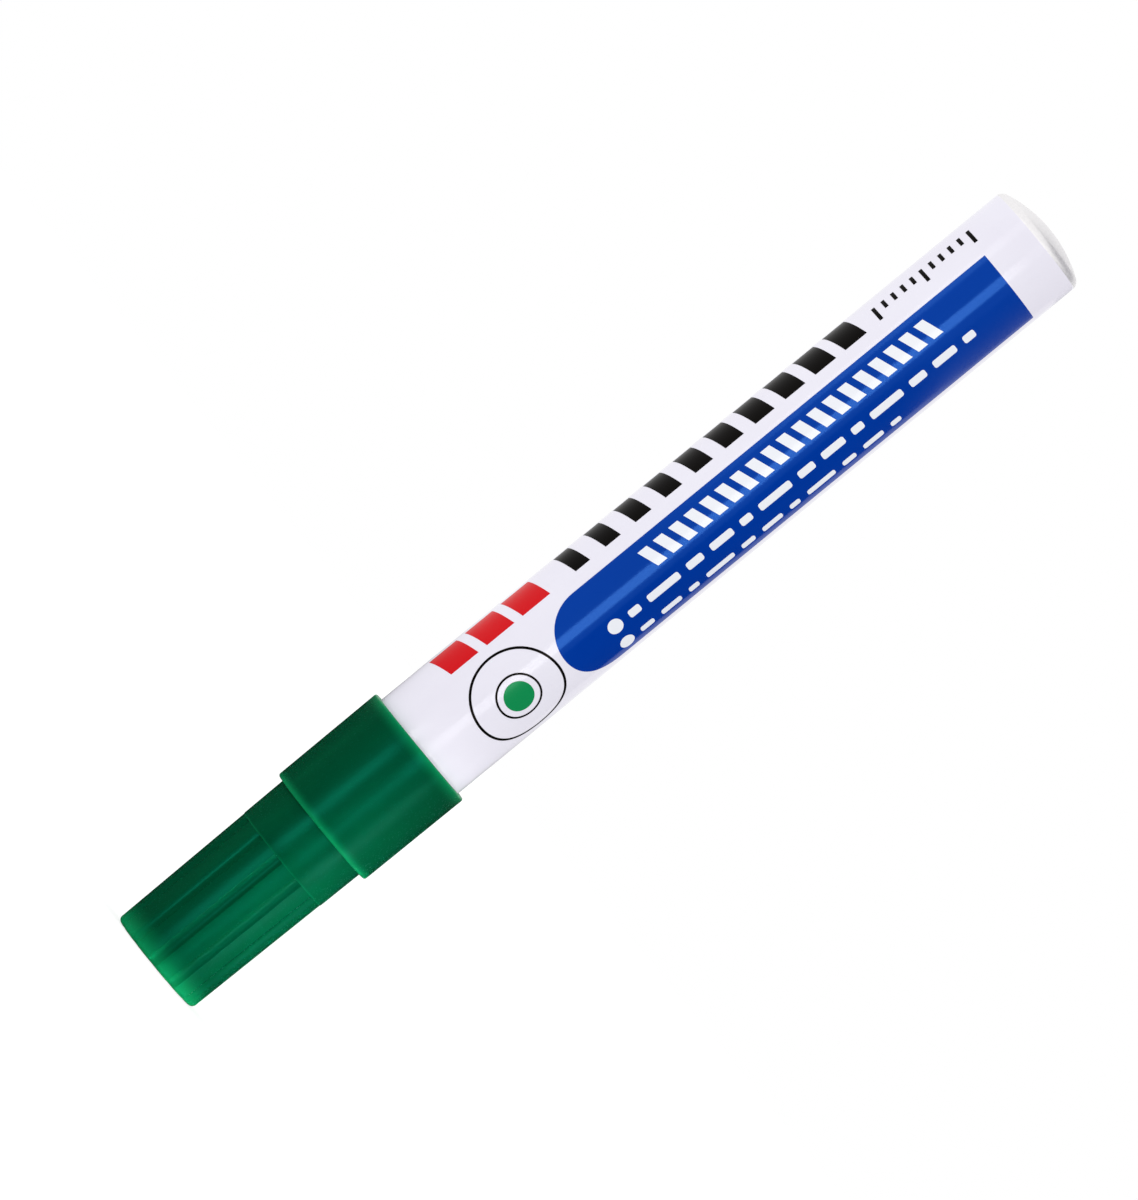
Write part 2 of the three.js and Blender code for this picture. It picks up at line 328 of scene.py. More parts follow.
def linear(hex_colour):
    """sRGB hex to the linear colour that a shader socket takes."""
    channels = [int(hex_colour[place : place + 2], 16) / 255 for place in (1, 3, 5)]
    return [c / 12.92 if c <= 0.04045 else ((c + 0.055) / 1.055) ** 2.4 for c in channels] + [1.0]


def add_node(tree, kind, inputs=None, **settings):
    """Adds a shader node, sets its properties, and fills its inputs with values or links."""
    made = tree.nodes.new(kind)
    for key, value in settings.items():
        setattr(made, key, value)
    for socket, value in (inputs or {}).items():
        if isinstance(value, bpy.types.NodeSocket):
            tree.links.new(value, made.inputs[socket])
        else:
            made.inputs[socket].default_value = value
    return made


def new_material(name):
    """An empty material with its tree, the place on the piece in metres, and its output."""
    material = bpy.data.materials.new(name)
    material.use_nodes = True
    tree = material.node_tree
    tree.nodes.clear()
    coordinates = add_node(tree, "ShaderNodeTexCoord")
    output = add_node(tree, "ShaderNodeOutputMaterial")
    return material, tree, coordinates.outputs["Object"], output


def speckle(tree, place, grain_mm, stretch=1.0, detail=2.0):
    """Noise whose grain has a real size, drawn out along the marker by stretch."""
    mapping = add_node(
        tree, "ShaderNodeMapping", {"Vector": place, "Scale": (1.0, 1.0, 1.0 / stretch)}
    )
    return add_node(
        tree,
        "ShaderNodeTexNoise",
        {"Vector": mapping.outputs["Vector"], "Scale": 1.0 / (grain_mm * MM), "Detail": detail},
    ).outputs["Fac"]


def two_tone(tree, noise, first, second):
    """A colour that drifts between two hex tones as a noise does."""
    share = add_node(tree, "ShaderNodeMapRange", {"Value": noise, **NOISE_RANGE})
    return add_node(
        tree,
        "ShaderNodeMix",
        {"Factor": share.outputs["Result"], "A": linear(first), "B": linear(second)},
        data_type="RGBA",
    ).outputs["Result"]


def fade(tree, height, start_mm, end_mm, peak):
    """The peak value at the first height, falling softly to 0 at the second."""
    ramp = add_node(
        tree,
        "ShaderNodeMapRange",
        {
            "Value": height,
            "From Min": start_mm * MM,
            "From Max": end_mm * MM,
            "To Min": peak**0.5,
            "To Max": 0.0,
        },
    )
    return add_node(
        tree, "ShaderNodeMath", {0: ramp.outputs["Result"], 1: 2.0}, operation="POWER"
    ).outputs[0]


def fade_above(tree, height, edge_mm, reach_mm, peak):
    """A fade that starts at an edge and reaches upwards, with nothing below the edge."""
    just_below_mm = edge_mm - 0.03
    above = add_node(
        tree, "ShaderNodeMath", {0: height, 1: just_below_mm * MM}, operation="GREATER_THAN"
    )
    soft = fade(tree, height, edge_mm, edge_mm + reach_mm, peak)
    return add_node(
        tree, "ShaderNodeMath", {0: soft, 1: above.outputs[0]}, operation="MULTIPLY"
    ).outputs[0]


def moulded_green_polypropylene():
    """Injection moulded, pigmented, a little translucent: a painted glow and painted highlights
    lighten the edges, the skin has a soft gloss.
    """
    material, tree, place, output = new_material("moulded_green_polypropylene")
    flow = speckle(tree, place, grain_mm=3.0, stretch=6.0, detail=3.0)
    # The mould's own texture is finer: it is drawn as coarse as it needs to show
    skin = speckle(tree, place, grain_mm=0.22)
    waviness = speckle(tree, place, grain_mm=2.2, stretch=3.0, detail=1.0)
    # Painted glow and painted highlight: the colour turns lighter green beside the flat end, both
    # steps and the mouth, in place of light that enters there and comes out beside them and of the
    # glints on those edges
    height = add_node(tree, "ShaderNodeSeparateXYZ", {"Vector": place}).outputs["Z"]
    glow, *other_painted_glows = (
        fade_above(tree, height, edge_mm=0.0, reach_mm=3.8, peak=1.0),
        fade_above(tree, height, edge_mm=STEP_FOOT, reach_mm=0.3, peak=0.25),
        fade_above(tree, height, edge_mm=COLLAR_START, reach_mm=1.3, peak=0.75),
        fade(tree, height, start_mm=CAP_MOUTH, end_mm=CAP_MOUTH - 1.8, peak=0.65),
    )
    for another_painted_glow in other_painted_glows:
        glow = add_node(
            tree, "ShaderNodeMath", {0: glow, 1: another_painted_glow}, operation="ADD", use_clamp=True
        ).outputs[0]
    painted_lit_colour = add_node(
        tree,
        "ShaderNodeMix",
        {
            "Factor": glow,
            "A": two_tone(tree, flow, "#00452a", "#004d2f"),
            # The lighter green of the painted glow and painted highlight at the edges
            "B": linear("#10a062"),
        },
        data_type="RGBA",
    )
    fine = add_node(
        tree, "ShaderNodeBump", {"Height": skin, "Strength": 0.03, "Distance": 0.02 * MM}
    )
    wavy = add_node(
        tree,
        "ShaderNodeBump",
        {
            "Height": waviness,
            "Strength": 0.35,
            "Distance": 0.04 * MM,
            "Normal": fine.outputs["Normal"],
        },
    )
    gloss = add_node(
        tree,
        "ShaderNodeMapRange",
        {"Value": skin, **NOISE_RANGE, "To Min": 0.24, "To Max": 0.28},
    )
    shader = add_node(
        tree,
        "ShaderNodeBsdfPrincipled",
        {
            "Base Color": painted_lit_colour.outputs["Result"],
            "Roughness": gloss.outputs["Result"],
            "IOR": 1.49,
            "Specular IOR Level": 0.14,
            "Specular Tint": linear("#2cf0cd"),
            "Subsurface Weight": 0.25,
            "Subsurface Radius": (0.25, 1.0, 0.6),
            "Subsurface Scale": 0.4 * MM,
            "Normal": wavy.outputs["Normal"],
        },
    )
    tree.links.new(shader.outputs["BSDF"], output.inputs["Surface"])
    return material


def gloss_print(name, colour, second_colour, sheen_colour="#ffffff", level=0.2, roughness=0.2):
    """Ink or white coat baked on the tube: even colour, a narrow streak of light in its tint."""
    material, tree, place, output = new_material(name)
    cloud = speckle(tree, place, grain_mm=9.0, stretch=2.0)
    peel = speckle(tree, place, grain_mm=1.4, stretch=2.5, detail=1.5)
    bump = add_node(
        tree, "ShaderNodeBump", {"Height": peel, "Strength": 0.16, "Distance": 0.02 * MM}
    )
    shader = add_node(
        tree,
        "ShaderNodeBsdfPrincipled",
        {
            "Base Color": two_tone(tree, cloud, colour, second_colour),
            "Roughness": roughness,
            "Specular IOR Level": level,
            "Specular Tint": linear(sheen_colour),
            "Normal": bump.outputs["Normal"],
        },
    )
    tree.links.new(shader.outputs["BSDF"], output.inputs["Surface"])
    return material


def bare_extruded_aluminium():
    """The tube's own metal where the coat stops: satin, with the faint rings of its punch."""
    material, tree, place, output = new_material("bare_extruded_aluminium")
    # At this scale the wave node draws a ring every 0.35 mm
    rings = add_node(
        tree,
        "ShaderNodeTexWave",
        {"Vector": place, "Scale": 900.0, "Distortion": 1.2, "Detail": 2.0},
        wave_type="RINGS",
        rings_direction="Z",
    )
    grit = speckle(tree, place, grain_mm=0.3, detail=3.0)
    bump = add_node(
        tree,
        "ShaderNodeBump",
        {"Height": rings.outputs["Fac"], "Strength": 0.08, "Distance": 0.02 * MM},
    )
    satin = add_node(
        tree,
        "ShaderNodeMapRange",
        {"Value": grit, **NOISE_RANGE, "To Min": 0.36, "To Max": 0.46},
    )
    shader = add_node(
        tree,
        "ShaderNodeBsdfPrincipled",
        {
            "Base Color": two_tone(tree, grit, "#efedee", "#f6f4f5"),
            "Metallic": 1.0,
            "Roughness": satin.outputs["Result"],
            "Normal": bump.outputs["Normal"],
        },
    )
    tree.links.new(shader.outputs["BSDF"], output.inputs["Surface"])
    return material


def natural_plastic(name, colour, second_colour, roughness, translucency):
    """Polypropylene or polyethylene without pigment: milky, waxy, light soaks in at edges."""
    material, tree, place, output = new_material(name)
    cloud = speckle(tree, place, grain_mm=2.5, stretch=3.0)
    skin = speckle(tree, place, grain_mm=0.25)
    bump = add_node(
        tree, "ShaderNodeBump", {"Height": skin, "Strength": 0.12, "Distance": 0.02 * MM}
    )
    waxy = add_node(
        tree,
        "ShaderNodeMapRange",
        {"Value": skin, **NOISE_RANGE, "To Min": roughness - 0.04, "To Max": roughness + 0.06},
    )
    shader = add_node(
        tree,
        "ShaderNodeBsdfPrincipled",
        {
            "Base Color": two_tone(tree, cloud, colour, second_colour),
            "Roughness": waxy.outputs["Result"],
            "IOR": 1.5,
            "Subsurface Weight": translucency,
            "Subsurface Radius": (1.0, 0.95, 0.85),
            "Subsurface Scale": 1.2 * MM,
            "Normal": bump.outputs["Normal"],
        },
    )
    tree.links.new(shader.outputs["BSDF"], output.inputs["Surface"])
    return material


def inked_fibre(name, colour, second_colour, fibre_mm, roughness):
    """Polyester fibres bonded lengthwise and wet with ink: fine lines along the rod, no gloss.

    The real fibres are finer than the render can show, so they are drawn as coarse as fibre_mm.
    """
    material, tree, place, output = new_material(name)
    fibres = speckle(tree, place, grain_mm=fibre_mm, stretch=24.0)
    bump = add_node(
        tree, "ShaderNodeBump", {"Height": fibres, "Strength": 0.5, "Distance": 0.05 * MM}
    )
    shader = add_node(
        tree,
        "ShaderNodeBsdfPrincipled",
        {
            "Base Color": two_tone(tree, fibres, colour, second_colour),
            "Roughness": roughness,
            "Specular IOR Level": 0.3,
            "Normal": bump.outputs["Normal"],
        },
    )
    tree.links.new(shader.outputs["BSDF"], output.inputs["Surface"])
    return material


def clear_film():
    """Thin polypropylene film round the fibre bundle: glossy, the ink's green shows through."""
    material, tree, place, output = new_material("clear_polypropylene_film")
    crease = speckle(tree, place, grain_mm=1.2, stretch=8.0, detail=3.0)
    bump = add_node(
        tree, "ShaderNodeBump", {"Height": crease, "Strength": 0.4, "Distance": 0.04 * MM}
    )
    shader = add_node(
        tree,
        "ShaderNodeBsdfPrincipled",
        {
            "Base Color": two_tone(tree, crease, "#3d7a66", "#57907d"),
            "Roughness": 0.18,
            "Normal": bump.outputs["Normal"],
        },
    )
    tree.links.new(shader.outputs["BSDF"], output.inputs["Surface"])
    return material


# Cap
def make_cap_shell(material):
    """Fluted end, step, neck and collar, then the mouth, the ribbed bore, ledge and seat."""
    profile = circle_arc(CAP_END_RADIUS - CAP_END_EDGE, CAP_END_EDGE, CAP_END_EDGE, -90, 0, steps=8)
    flute_end = (FLUTE_LAND_RADIUS - FLUTE_RUN_OUT * CAP_DRAFT, FLUTE_STOP)
    profile += straight(profile[-1], flute_end, steps=10)
    profile += [
        (FLUTE_LAND_RADIUS, LAND_STOP),
        (STEP_FOOT_RADIUS, STEP_FOOT),
        (NECK_START_RADIUS, FLUTED_LENGTH),
    ]
    profile += straight(profile[-1], (BARREL_RADIUS, COLLAR_START - COLLAR_ROOT), steps=3)
    profile += [(BARREL_RADIUS + COLLAR_ROOT, COLLAR_START)]
    profile += circle_arc(
        COLLAR_START_RADIUS - COLLAR_EDGE, COLLAR_START + COLLAR_EDGE, COLLAR_EDGE, -90, 0, steps=7
    )
    mouth_edge = circle_arc(
        COLLAR_MOUTH_RADIUS - MOUTH_EDGE, CAP_MOUTH - MOUTH_EDGE, MOUTH_EDGE, 0, 90, steps=6
    )
    profile += straight(profile[-1], mouth_edge[0], steps=4)[:-1]
    profile += mouth_edge
    profile += [
        (COLLAR_BORE_RADIUS + MOUTH_CHAMFER / 2, CAP_MOUTH),
        (COLLAR_BORE_RADIUS, CAP_MOUTH - MOUTH_CHAMFER),
    ]
    rib_top = CAP_MOUTH - GRIP_RIB_INSET
    rib_foot = LEDGE + GRIP_RIB_INSET
    for height in (
        rib_top,
        rib_top - GRIP_RIB_RUN_OUT,
        rib_foot + GRIP_RIB_RUN_OUT,
        rib_foot,
        LEDGE,
    ):
        profile.append((COLLAR_BORE_RADIUS, height))
    profile += [
        (SHELL_BORE_RADIUS, LEDGE),
        (SHELL_BORE_RADIUS, CAP_END_WALL + SHELL_BORE_CORNER),
        (SHELL_BORE_RADIUS - SHELL_BORE_CORNER, CAP_END_WALL),
    ]
    shell = turned("cap_shell_moulding", profile)
    press_columns(
        shell,
        FLUTE_COUNT,
        FLUTE_PHASE,
        FLUTE_HALF_DEGREES,
        FLUTE_DEPTH,
        heights=(-PICK_MARGIN, FLUTE_STOP + PICK_MARGIN),
        radii=FLUTE_CUT_RADII,
    )
    press_columns(
        shell,
        GRIP_RIB_COUNT,
        FLUTE_PHASE,
        GRIP_RIB_HALF_DEGREES,
        GRIP_RIB_HEIGHT,
        heights=(rib_foot + GRIP_RIB_RUN_OUT / 2, rib_top - GRIP_RIB_RUN_OUT / 2),
        radii=(COLLAR_BORE_RADIUS - PICK_MARGIN, COLLAR_BORE_RADIUS + PICK_MARGIN),
    )
    shell.data.materials.append(material)
    return finish_piece(shell, "cap", "cap_shell", smooth_angle=30)


def make_inner_cap(material):
    """The thimble that closes on the nose, open towards the mouth, with a round corner inside."""
    bore = INNER_CAP_RADIUS - INNER_CAP_WALL
    corner_height = INNER_CAP_END + INNER_CAP_WALL + INNER_CAP_CORNER
    profile = [
        (INNER_CAP_RADIUS - INNER_CAP_LIP, INNER_CAP_END),
        (INNER_CAP_RADIUS, INNER_CAP_END + INNER_CAP_LIP),
    ]
    edge_height = INNER_CAP_MOUTH - INNER_CAP_EDGE
    profile += straight(profile[-1], (INNER_CAP_RADIUS, edge_height), steps=3)
    profile += circle_arc(
        INNER_CAP_RADIUS - INNER_CAP_EDGE, edge_height, INNER_CAP_EDGE, 0, 90, steps=4
    )
    profile += circle_arc(
        bore + INNER_CAP_LIP, INNER_CAP_MOUTH - INNER_CAP_LIP, INNER_CAP_LIP, 90, 180, steps=5
    )
    profile += [(bore, corner_height)]
    profile += circle_arc(bore - INNER_CAP_CORNER, corner_height, INNER_CAP_CORNER, 0, -90, steps=5)
    liner = turned("inner_cap_thimble", profile)
    liner.data.materials.append(material)
    return finish_piece(liner, "cap", "inner_cap")


# Pen
def make_barrel(coat, metal):
    """The tube with its closed, shallow domed tail: lacquered, with the tail left bare."""
    dome_radius = (BARREL_RADIUS**2 + TAIL_DOME_RISE**2) / (2 * TAIL_DOME_RISE)
    dome_centre = TAIL - dome_radius
    edge_reach = dome_radius - TAIL_EDGE
    edge_centre_radius = BARREL_RADIUS - TAIL_EDGE
    edge_centre = dome_centre + math.sqrt(edge_reach**2 - edge_centre_radius**2)
    edge_angle = math.degrees(math.atan2(edge_centre - dome_centre, edge_centre_radius))
    bore = BARREL_RADIUS - BARREL_WALL
    # A turned profile stops just short of the axis
    near_axis = 89.0
    profile = [(bore, BARREL_RIM)]
    profile += circle_arc(
        BARREL_RADIUS - RIM_EDGE, BARREL_RIM + RIM_EDGE, RIM_EDGE, -90, 0, steps=4
    )
    tail_edge = circle_arc(edge_centre_radius, edge_centre, TAIL_EDGE, 0, edge_angle, steps=14)
    profile += straight(profile[-1], tail_edge[0], steps=8)[:-1]
    profile += tail_edge
    profile += circle_arc(0, dome_centre, dome_radius, edge_angle, near_axis, steps=24)[1:]
    tube = turned("barrel_tube", profile)
    # The flat face over the mouth is pushed in, up to where the bore meets the dome's inside
    bpy.ops.object.mode_set(mode="EDIT")
    bpy.ops.mesh.select_mode(type="FACE")
    mesh = bmesh.from_edit_mesh(tube.data)
    for face in mesh.faces:
        face.select = len(face.verts) > 4 and face.calc_center_median().z < (BARREL_RIM + 1) * MM
    bmesh.update_edit_mesh(tube.data)
    inner_radius = dome_radius - TAIL_WALL
    inner_end = inner_radius * math.sin(math.acos(bore / inner_radius)) + dome_centre
    bpy.ops.mesh.extrude_region_move(
        TRANSFORM_OT_translate={"value": (0, 0, (inner_end - BARREL_RIM) * MM)}
    )
    bpy.ops.object.mode_set(mode="OBJECT")
    tube.data.materials.append(coat)
    tube.data.materials.append(metal)
    bare_from = edge_centre + TAIL_EDGE * math.sin(math.radians(LACQUER_END_DEGREES))
    for face in tube.data.polygons:
        face.material_index = int(face.center.z / MM > bare_from)
    return finish_piece(tube, "pen", "barrel")


def make_nib_holder(material):
    """Nose, cone, seal land, flange and plug outside, then the funnel and the vented nib bore."""
    nose_root = NIB_BORE_RADIUS + NOSE_WALL
    land = INNER_CAP_RADIUS - INNER_CAP_WALL - SEAL_CLEARANCE - SEAL_RING_RISE
    land_bore = land - LAND_WALL
    ring_start = LAND_FRONT + SEAL_RING_START
    plug = BARREL_RADIUS - BARREL_WALL - PLUG_CLEARANCE - PLUG_RING_RISE
    plug_bore = plug - PLUG_WALL
    flange_rear = BARREL_RIM - SEAT_GAP
    grip_end = NOSE_FRONT + NIB_GRIP_LENGTH
    profile = [(NIB_BORE_RADIUS, NOSE_FRONT)]
    profile += circle_arc(nose_root - NOSE_EDGE, NOSE_FRONT + NOSE_EDGE, NOSE_EDGE, -90, 0, steps=6)
    profile += beside((nose_root, NOSE_FRONT + NOSE_LENGTH), NOSE_ROOT_ROUND)
    cone_end, *land_round = beside((land, LAND_FRONT), LAND_FRONT_ROUND)
    profile += straight(profile[-1], cone_end, steps=6) + land_round
    profile += [(land, ring_start)]
    profile += circle_arc(
        land - SEAL_RING_ARC_DEPTH,
        ring_start + SEAL_RING_WIDTH / 2,
        SEAL_RING_ARC_RADIUS,
        -SEAL_RING_HALF_DEGREES,
        SEAL_RING_HALF_DEGREES,
        steps=8,
    )
    profile += [(land, ring_start + SEAL_RING_WIDTH)]
    profile += beside((land, FLANGE_FRONT), FLANGE_ROOT_ROUND)
    profile += circle_arc(
        FLANGE_RADIUS - FLANGE_EDGE, FLANGE_FRONT + FLANGE_EDGE, FLANGE_EDGE, -90, 0, steps=5
    )
    profile += [(FLANGE_RADIUS, flange_rear), (plug, flange_rear)]
    for start in PLUG_RING_STARTS:
        profile += beside((plug, flange_rear + start), PLUG_RING)
    profile += [
        (plug, PLUG_REAR - PLUG_CHAMFER),
        (plug - PLUG_CHAMFER, PLUG_REAR),
        (plug_bore, PLUG_REAR),
        (plug_bore, flange_rear + PLUG_FUNNEL),
        (land_bore, flange_rear),
        (land_bore, grip_end + land_bore - NIB_BORE_RADIUS),
        (NIB_BORE_RADIUS, grip_end),
        (NIB_BORE_RADIUS, NOSE_FRONT + NIB_BORE_MOUTH),
        (NIB_BORE_RADIUS, NOSE_FRONT),
    ]
    holder = turned("nose_moulding", profile, closed=True)
    press_columns(
        holder,
        VENT_COUNT,
        VENT_PHASE,
        VENT_HALF_DEGREES,
        -VENT_DEPTH,
        heights=(NOSE_FRONT - PICK_MARGIN, grip_end - PICK_MARGIN),
        radii=(NIB_BORE_RADIUS - PICK_MARGIN, NIB_BORE_RADIUS + PICK_MARGIN),
    )
    holder.data.materials.append(material)
    return finish_piece(holder, "pen", "nib_holder")


def make_nib(material):
    """A rod with a bullet point: round tip, straight flanks, soft shoulder and chamfered rear."""
    lean = math.degrees(
        math.atan2(NIB_RADIUS - NIB_TIP_ROUND, NIB_POINT_LENGTH - NIB_TIP_ROUND)
    )
    near_axis = -88
    point_end = NIB_TIP + NIB_POINT_LENGTH
    profile = circle_arc(0, NIB_TIP + NIB_TIP_ROUND, NIB_TIP_ROUND, near_axis, -lean, steps=9)
    shoulder = (NIB_RADIUS - NIB_SHOULDER_DROP, point_end - NIB_SHOULDER)
    profile += straight(profile[-1], shoulder, steps=5)
    profile += [(NIB_RADIUS, point_end + NIB_SHOULDER)]
    profile += straight(profile[-1], (NIB_RADIUS, NIB_REAR - NIB_CHAMFER), steps=4)
    profile += [(NIB_RADIUS - NIB_CHAMFER, NIB_REAR)]
    nib = turned("fibre_nib", profile, columns=NIB_COLUMNS)
    nib.data.materials.append(material)
    return finish_piece(nib, "pen", "nib", smooth_angle=40)


# Print: outlines drawn flat in the plane through the axis, cut into strips, bent round the barrel
def start_outline(name, add_primitive, **where):
    """A primitive turned upright, facing -Y, with its place in its mesh."""
    bpy.ops.object.select_all(action="DESELECT")
    add_primitive(rotation=(math.pi / 2, 0, 0), **where)
    outline = bpy.context.object
    outline.name = name
    outline.data.name = name
    bpy.ops.object.transform_apply(location=True, rotation=True, scale=True)
    return outline


def arc_length(angle):
    """Millimetres round the barrel from the middle of its front to an angle."""
    return math.radians(angle) * BARREL_RADIUS


def slanted_bar(name, angles, heights, slant=0.0, corner=0.0):
    """A flat bar between two angles and two heights, its far end shifted up the barrel by slant."""
    left, right = (arc_length(angle) for angle in angles)
    low, high = heights
    middle = (left + right) / 2 * MM
    centre = (middle, 0, (low + high) / 2 * MM)
    bar = start_outline(name, bpy.ops.mesh.primitive_plane_add, size=MM, location=centre)
    bpy.ops.object.mode_set(mode="EDIT")
    bpy.ops.transform.resize(value=(right - left, 1, high - low), center_override=centre)
    pick(bar, lambda place: place.x > middle)
    bpy.ops.transform.translate(value=(0, 0, slant * MM))
    if corner:
        bpy.ops.mesh.select_all(action="SELECT")
        bpy.ops.mesh.bevel(offset=corner * MM, segments=6, affect="VERTICES")
    bpy.ops.object.mode_set(mode="OBJECT")
    return bar


def joined(name, parts):
    """One piece from several flat ones."""
    bpy.ops.object.select_all(action="DESELECT")
    for part in parts:
        part.select_set(True)
    bpy.context.view_layer.objects.active = parts[0]
    bpy.ops.object.join()
    parts[0].name = name
    parts[0].data.name = name
    return parts[0]


def apply_modifier(piece, kind, **settings):
    """Gives a piece a modifier with its settings and applies it."""
    modifier = piece.modifiers.new(kind.lower(), kind)
    for key, value in settings.items():
        setattr(modifier, key, value)
    select_only(piece)
    bpy.ops.object.modifier_apply(modifier=modifier.name)


def reach_across(piece):
    """Leftmost and rightmost place of a flat outline, in metres."""
    across = [vertex.co.x for vertex in piece.data.vertices]
    return min(across), max(across)


def lay_on_barrel(piece, material, layer=1):
    """Cuts an outline into strips, gives it the ink's thickness, bends it round the barrel."""
    select_only(piece)
    low, high = reach_across(piece)
    strip = arc_length(INK_STRIP_DEGREES) * MM
    bpy.ops.object.mode_set(mode="EDIT")
    for step in range(1, math.ceil((high - low) / strip)):
        bpy.ops.mesh.select_all(action="SELECT")
        bpy.ops.mesh.bisect(plane_co=(low + step * strip, 0, 0), plane_no=(1, 0, 0))
    bpy.ops.mesh.select_all(action="SELECT")
    bpy.ops.mesh.normals_make_consistent(inside=False)
    bpy.ops.object.mode_set(mode="OBJECT")
    if piece.data.polygons[0].normal.y > 0:
        piece.data.flip_normals()
    # The ink is drawn from just inside the coat to its own height above it
    radius = BARREL_RADIUS * MM
    foot = INK_FOOT * MM
    thickness = foot + layer * INK_THICKNESS * MM
    apply_modifier(piece, "SOLIDIFY", thickness=thickness, offset=1.0)
    low, high = reach_across(piece)
    apply_modifier(
        piece, "SIMPLE_DEFORM", deform_method="BEND", deform_axis="Z", angle=(high - low) / radius
    )
    piece.data.transform(Matrix.Translation((0, -radius, 0)))
    scale = (radius - foot) / radius
    piece.data.transform(Matrix.Diagonal((scale, scale, 1, 1)))
    piece.data.materials.clear()
    piece.data.materials.append(material)
    return finish_piece(piece, "pen")


def make_band(material):
    """The plain stripe: straight sides, a round end near the cap and a square one near the tail."""
    left, right = (arc_length(angle) for angle in BAND_ANGLES)
    low, high = BAND_HEIGHTS
    radius = (right - left) / 2
    middle = (left + right) / 2
    centre = (low + radius) * MM
    band = start_outline(
        "print_band",
        bpy.ops.mesh.primitive_circle_add,
        vertices=128,
        radius=radius * MM,
        location=(middle * MM, 0, centre),
    )
    bpy.ops.object.mode_set(mode="EDIT")
    pick(band, lambda place: place.z > centre + 1e-6)
    bpy.ops.transform.resize(value=(1, 1, 0), center_override=(middle * MM, 0, high * MM))
    bpy.ops.mesh.select_all(action="SELECT")
    bpy.ops.mesh.edge_face_add()
    bpy.ops.object.mode_set(mode="OBJECT")
    return lay_on_barrel(band, material)


def flat_disc(name, radius, angle, height):
    """A flat round spot of ink, radius and height in millimetres."""
    return start_outline(
        name,
        bpy.ops.mesh.primitive_circle_add,
        vertices=64,
        radius=radius * MM,
        fill_type="NGON",
        location=(arc_length(angle) * MM, 0, height * MM),
    )


def flat_ring(name, radius, line, angle, height):
    """A thin flat circle of ink, line in millimetres."""
    middle = (arc_length(angle) * MM, 0, height * MM)
    ring = start_outline(
        name,
        bpy.ops.mesh.primitive_circle_add,
        vertices=128,
        radius=radius * MM,
        location=middle,
    )
    bpy.ops.object.mode_set(mode="EDIT")
    bpy.ops.mesh.select_all(action="SELECT")
    bpy.ops.mesh.extrude_edges_move()
    inner = (radius - line) / radius
    bpy.ops.transform.resize(value=(inner, 1, inner), center_override=middle)
    bpy.ops.object.mode_set(mode="OBJECT")
    return ring


def make_ring_mark(ink, spot_ink):
    """Two thin round frames with a plain spot of the ink's colour in the middle."""
    rings = [flat_ring("ring", radius, line, *RING_MARK_PLACE) for radius, line in RING_MARK_RINGS]
    lay_on_barrel(joined("print_rings", rings), ink)
    spot = flat_disc("print_colour_spot", RING_MARK_SPOT_RADIUS, *RING_MARK_PLACE)
    lay_on_barrel(spot, spot_ink)


def bar_row(name, count, angles, first, pitch, length, growth, slant):
    """Slanted bars one after another along the barrel."""
    bars = []
    for number in range(count):
        start = first + pitch * number
        end = start + length + growth * number
        bars.append(slanted_bar(name, angles, (start, end), slant))
    return bars


def tick_row():
    """A scale of short ticks in which every fifth is longer."""
    ticks = []
    for number in range(TICK_COUNT):
        start = TICK_START + TICK_PITCH * number
        angles = TICK_ANGLES if number % 5 else LONG_TICK_ANGLES
        ticks.append(slanted_bar("tick", angles, (start, start + TICK_WIDTH)))
    return ticks


def white_row(angles, start, stop, lengths):
    """A round spot, then rules of changing length up to the stop."""
    middle = sum(angles) / 2
    row = [flat_disc("spot", ROW_SPOT_RADIUS, middle, start + ROW_SPOT_RADIUS)]
    height = start + RULES_START
    while height + lengths[len(row) % len(lengths)] < stop:
        length = lengths[len(row) % len(lengths)]
        row.append(slanted_bar("rule", angles, (height, height + length), corner=RULE_CORNER))
        height += length + RULE_GAP
    return row


def make_print(inks):
    """All print: the band, the ring mark, bars and ticks beside the band, white marks on it."""
    make_band(inks["blue"])
    make_ring_mark(inks["black"], inks["green"])
    lay_on_barrel(joined("print_red_bars", bar_row("red_bar", *RED_BARS)), inks["red"])
    lay_on_barrel(joined("print_black_bars", bar_row("black_bar", *BLACK_BARS)), inks["black"])
    lay_on_barrel(joined("print_scale_ticks", tick_row()), inks["black"])
    hatch = joined("print_white_hatch", bar_row("hatch", *WHITE_HATCH))
    lay_on_barrel(hatch, inks["white"], layer=2)
    rules = joined("print_white_rules", white_row(*UPPER_WHITE_ROW) + white_row(*LOWER_WHITE_ROW))
    lay_on_barrel(rules, inks["white"], layer=2)


# Studio: places and sizes in metres, azimuths in degrees from -Y towards +X
BLACK_FELT = ("#181818", "#1e1e1e")
GREY_FELT = ("#c6c6ca", "#ceced2")
# Lamps: name, azimuth, height, distance, width, length, radiance, spread of the grid in degrees
STREAK_LAMPS = (
    ("barrel_strip", 17.5, 0.100, 0.40, 0.125, 0.125, 7.0, 180.0),
    ("cap_strip_left", -23.0, 0.021, 0.05, 0.014, 0.040, 9.5, 60.0),
    ("cap_strip_front", 21.0, 0.021, 0.05, 0.0085, 0.040, 5.0, 60.0),
    ("cap_strip_right", 56.0, 0.021, 0.05, 0.0155, 0.040, 4.6, 60.0),
)
CAP_FILL_LAMP = ("cap_side_fill", 72.0, 0.013, 0.16, 0.06, 0.038, 225.0, 16.0)
TAIL_LAMP = ("tail_side_box", -40.0, 0.16, 0.40, 0.12, 0.12, 2.5, 180.0)
# Cards: height, distance, width, length, felt, lean, frayed edge
CAP_CARD_AZIMUTHS = (-78, -142, 78, 142)
CAP_CARD = (0.030, 0.055, 0.072, 0.060, BLACK_FELT, 90.0, 0.022)
TAIL_CARD_AZIMUTHS = (5, 80)
TAIL_CARD = (0.1372, 0.033, 0.13, 0.050, GREY_FELT, -3.2)
